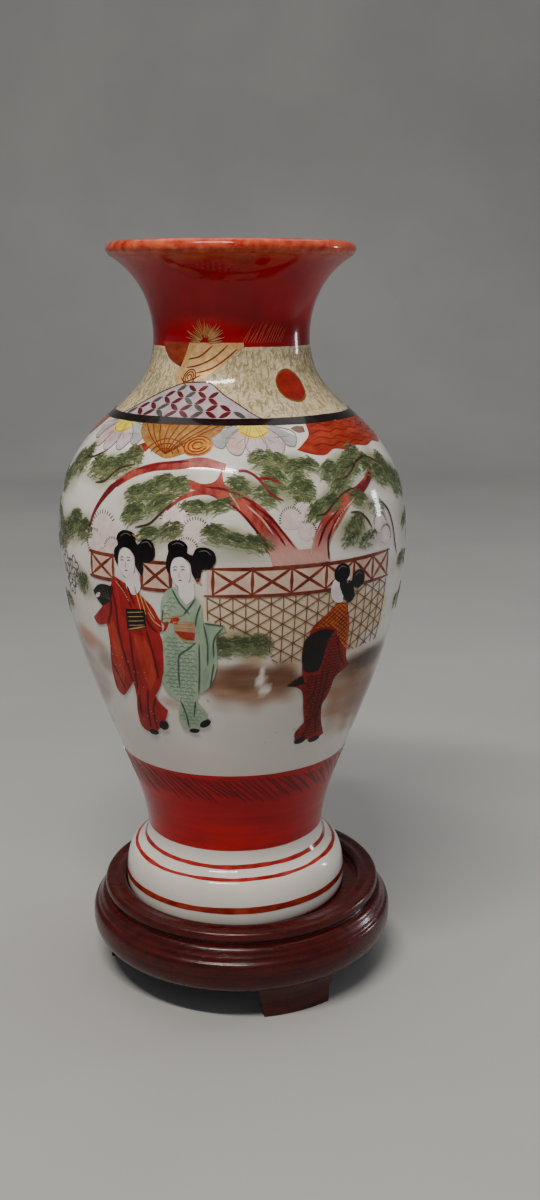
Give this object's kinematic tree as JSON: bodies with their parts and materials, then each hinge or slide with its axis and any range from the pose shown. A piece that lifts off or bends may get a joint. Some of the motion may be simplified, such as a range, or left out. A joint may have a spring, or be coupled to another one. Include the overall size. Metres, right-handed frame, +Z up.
{
  "type": "porcelain vase on a wooden stand",
  "caption": "Baluster vase with a flared mouth and a bulging foot ring, standing in the shallow recess of a round turned wooden stand on bracket feet.",
  "frame": {"origin": "on the table under the middle of the vase: the vase's axis at the level that the stand's feet rest on", "axes": "+Z up along the vase's axis; -Y is the front with the painted figures; the stand's own axis lies a little to +X"},
  "size_m": [0.1238, 0.124, 0.2669],
  "materials": {
    "painted_porcelain": "high-gloss glaze with painted enamels",
    "polished_rosewood": "dark reddish wood under gloss lacquer",
    "pin_wood": "bare pale wood"
  },
  "bodies": {
    "stand": {"stand_plate": "polished_rosewood", "stand_foot_1": "polished_rosewood", "stand_foot_2": "polished_rosewood", "stand_foot_3": "polished_rosewood", "foot_pin_1a": "pin_wood", "foot_pin_1b": "pin_wood", "foot_pin_2a": "pin_wood", "foot_pin_2b": "pin_wood", "foot_pin_3a": "pin_wood", "foot_pin_3b": "pin_wood"},
    "vase": {"vase_body": "painted_porcelain"}
  },
  "joints": [
    {"name": "vase_lift", "type": "slide", "parent": "stand", "child": "vase", "axis": [0, 0, 1], "range_m": [0, 0.06]}
  ]
}
